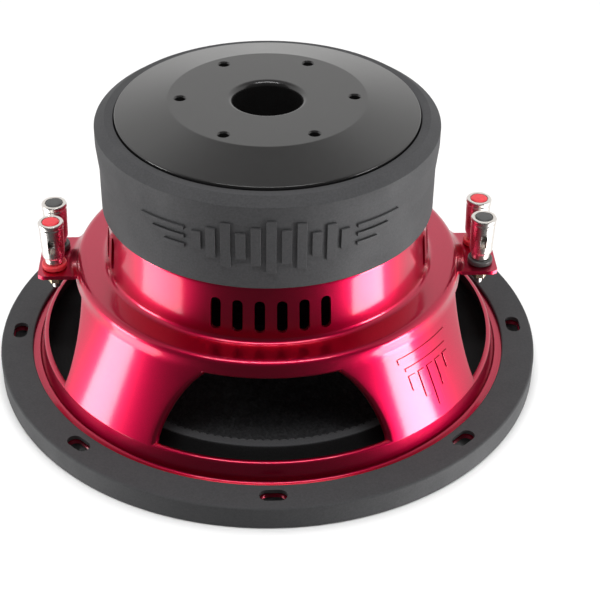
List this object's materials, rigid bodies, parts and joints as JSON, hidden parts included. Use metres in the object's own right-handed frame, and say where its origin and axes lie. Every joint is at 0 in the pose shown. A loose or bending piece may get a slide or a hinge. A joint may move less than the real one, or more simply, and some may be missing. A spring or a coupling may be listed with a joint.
{
  "type": "car subwoofer driver",
  "caption": "Car subwoofer driver: painted steel basket, booted rear magnet motor, paper cone on a foam surround, rubber rim gasket and spring push terminals.",
  "frame": {"origin": "centre of the gasket's front face, the plane that the driver lies and mounts on", "axes": "+Z from the front face towards the magnet; -Y towards the side with the front red/black terminals' wire slots; the terminal pairs stand at +X and -X"},
  "size_m": [0.262, 0.262, 0.1384],
  "materials": {
    "red_paint": "candy-red metallic lacquer under clear coat",
    "black_paint": "gloss black",
    "rubber": "matte dark grey",
    "foam": "matte black foam",
    "paper": "pressed black pulp",
    "cloth": "resin-treated cotton weave",
    "steel": "zinc plated",
    "nickel": "polished nickel plate",
    "ferrite": "sintered grey-black",
    "copper": "lacquered wire",
    "aluminium": "plain sheet",
    "red_plastic": "satin",
    "black_plastic": "satin"
  },
  "bodies": {
    "chassis": {"basket": "red_paint", "gasket": "rubber", "boot": "rubber", "back_plate": "black_paint", "top_plate": "steel", "magnet_front": "ferrite", "magnet_rear": "ferrite", "surround": "foam", "spider": "cloth", "frame_screw_1": "steel", "frame_screw_2": "steel", "frame_screw_3": "steel", "frame_screw_4": "steel", "frame_screw_5": "steel", "frame_screw_6": "steel", "terminal_left_front_post": "nickel", "terminal_left_front_collar": "red_plastic", "terminal_left_front_washer": "red_plastic", "terminal_left_front_spring": "steel", "terminal_left_front_lug": "nickel", "terminal_left_front_nut": "nickel", "lead_left_front": "copper", "terminal_left_rear_post": "nickel", "terminal_left_rear_collar": "black_plastic", "terminal_left_rear_washer": "black_plastic", "terminal_left_rear_spring": "steel", "terminal_left_rear_lug": "nickel", "terminal_left_rear_nut": "nickel", "lead_left_rear": "copper", "terminal_right_front_post": "nickel", "terminal_right_front_collar": "black_plastic", "terminal_right_front_washer": "black_plastic", "terminal_right_front_spring": "steel", "terminal_right_front_lug": "nickel", "terminal_right_front_nut": "nickel", "lead_right_front": "copper", "terminal_right_rear_post": "nickel", "terminal_right_rear_collar": "red_plastic", "terminal_right_rear_washer": "red_plastic", "terminal_right_rear_spring": "steel", "terminal_right_rear_lug": "nickel", "terminal_right_rear_nut": "nickel", "lead_right_rear": "copper"},
    "cone_assembly": {"cone": "paper", "dust_cap": "paper", "coil_former": "aluminium", "coil_winding_inner": "copper", "coil_winding_outer": "copper"},
    "push_left_front": {"terminal_left_front_sleeve": "nickel", "terminal_left_front_insert": "red_plastic"},
    "push_left_rear": {"terminal_left_rear_sleeve": "nickel", "terminal_left_rear_insert": "black_plastic"},
    "push_right_front": {"terminal_right_front_sleeve": "nickel", "terminal_right_front_insert": "black_plastic"},
    "push_right_rear": {"terminal_right_rear_sleeve": "nickel", "terminal_right_rear_insert": "red_plastic"}
  },
  "joints": [
    {"name": "cone_travel", "type": "slide", "parent": "chassis", "child": "cone_assembly", "axis": [0, 0, 1], "range_m": [-0.009, 0.009], "stiffness_N_per_m": 6700, "deforming": ["surround", "spider", "lead_left_front", "lead_left_rear", "lead_right_front", "lead_right_rear"]},
    {"name": "press_left_front", "type": "slide", "parent": "chassis", "child": "push_left_front", "axis": [0, 0, -1], "range_m": [0, 0.003], "stiffness_N_per_m": 600, "springref_m": -0.003, "deforming": ["terminal_left_front_spring"]},
    {"name": "press_left_rear", "type": "slide", "parent": "chassis", "child": "push_left_rear", "axis": [0, 0, -1], "range_m": [0, 0.003], "stiffness_N_per_m": 600, "springref_m": -0.003, "deforming": ["terminal_left_rear_spring"]},
    {"name": "press_right_front", "type": "slide", "parent": "chassis", "child": "push_right_front", "axis": [0, 0, -1], "range_m": [0, 0.003], "stiffness_N_per_m": 600, "springref_m": -0.003, "deforming": ["terminal_right_front_spring"]},
    {"name": "press_right_rear", "type": "slide", "parent": "chassis", "child": "push_right_rear", "axis": [0, 0, -1], "range_m": [0, 0.003], "stiffness_N_per_m": 600, "springref_m": -0.003, "deforming": ["terminal_right_rear_spring"]}
  ]
}
